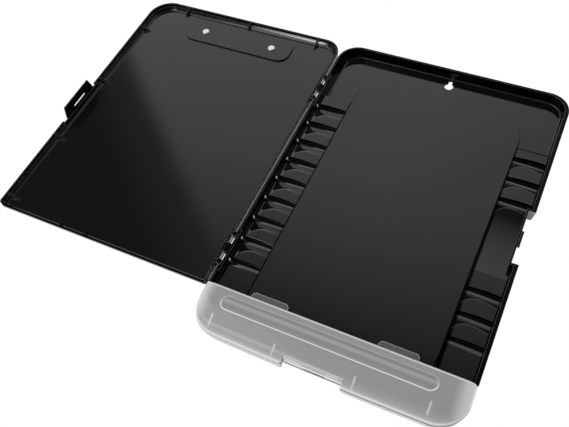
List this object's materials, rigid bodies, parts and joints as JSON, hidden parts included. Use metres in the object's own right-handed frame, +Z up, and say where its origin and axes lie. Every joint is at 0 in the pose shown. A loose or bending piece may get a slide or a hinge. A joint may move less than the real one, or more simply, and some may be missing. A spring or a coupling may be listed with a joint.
{
  "type": "storage clipboard",
  "caption": "Flat form case lying open: black tray and clip lid on a side hinge, translucent pencil compartment with its own hinged cover across the near end.",
  "frame": {"origin": "middle of the case's resting face, half way along its full length", "axes": "+X across the case away from the lid hinge, +Y along the case away from the pencil compartment, +Z up"},
  "size_m": [0.48, 0.3562, 0.0265],
  "materials": {
    "black_plastic": "semi-gloss injection moulded polystyrene",
    "frosted_plastic": "translucent smoke-grey polypropylene",
    "plated_steel": "nickel plated sheet",
    "steel": "drawn wire"
  },
  "bodies": {
    "base": {"base_tray": "black_plastic", "compartment_tray": "frosted_plastic", "hinge_pin_near": "steel", "hinge_pin_far": "steel"},
    "lid": {"lid_panel": "black_plastic", "clip_base_plate": "plated_steel", "clip_rivet_left": "plated_steel", "clip_rivet_right": "plated_steel", "clip_pivot_rod": "steel", "clip_spring": "steel"},
    "lid_latch": {"lid_latch_tab": "black_plastic"},
    "cover": {"compartment_cover": "frosted_plastic"},
    "cover_latch": {"cover_latch_tab": "frosted_plastic"},
    "jaw": {"clip_jaw": "plated_steel"}
  },
  "joints": [
    {"name": "lid_hinge", "type": "hinge", "parent": "base", "child": "lid", "pos_m": [-0.1215, 0.0049, 0.01415], "axis": [0, 1, 0], "range_deg": [0, 180]},
    {"name": "lid_latch_flap", "type": "hinge", "parent": "lid", "child": "lid_latch", "pos_m": [-0.3581, 0.0044, 0.0131], "axis": [0, -1, 0], "range_deg": [0, 90], "stiffness_Nm_per_rad": 0.02},
    {"name": "cover_hinge", "type": "hinge", "parent": "base", "child": "cover", "pos_m": [0, -0.142, 0.0187], "axis": [-1, 0, 0], "range_deg": [0, 90]},
    {"name": "cover_latch_flap", "type": "hinge", "parent": "cover", "child": "cover_latch", "pos_m": [-0.00375, -0.17175, 0.0148], "axis": [-1, 0, 0], "range_deg": [0, 90], "stiffness_Nm_per_rad": 0.02},
    {"name": "clip_pivot", "type": "hinge", "parent": "lid", "child": "jaw", "pos_m": [-0.2399, 0.153, 0.0036], "axis": [1, 0, 0], "range_deg": [0, 10], "stiffness_Nm_per_rad": 0.4, "springref_deg": -20.05}
  ]
}
